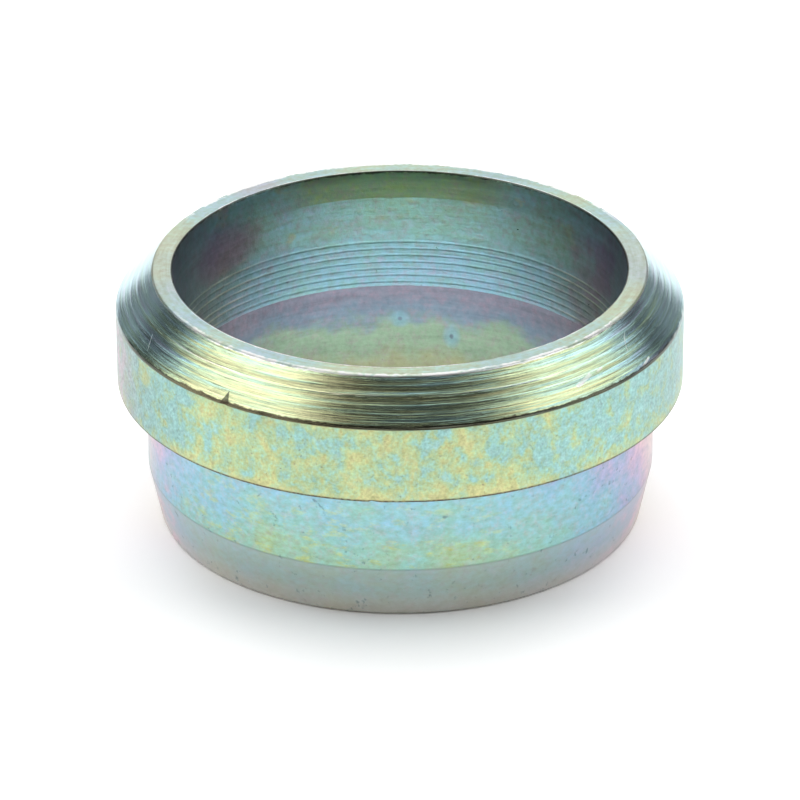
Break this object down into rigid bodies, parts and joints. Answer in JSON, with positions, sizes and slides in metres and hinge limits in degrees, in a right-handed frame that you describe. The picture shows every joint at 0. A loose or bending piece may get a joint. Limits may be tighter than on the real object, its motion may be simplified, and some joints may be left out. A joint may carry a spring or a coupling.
{
  "type": "cutting ring",
  "caption": "Turned steel cutting ring for a hydraulic compression fitting: coned nose, cylindrical collar, sloping shoulder and a through bore for the tube.",
  "frame": {"origin": "centre of the nose's end face, on the ring's axis", "axes": "+Z along the axis, from the nose up to the rim; the ring is round, so +X and +Y are free"},
  "size_m": [0.0254, 0.0254, 0.0118],
  "materials": {
    "passivated_steel": "turned steel with a satin zinc plating, passivated to a green, blue and yellow sheen"
  },
  "bodies": {
    "root": {"cutting_ring": "passivated_steel"}
  },
  "joints": []
}
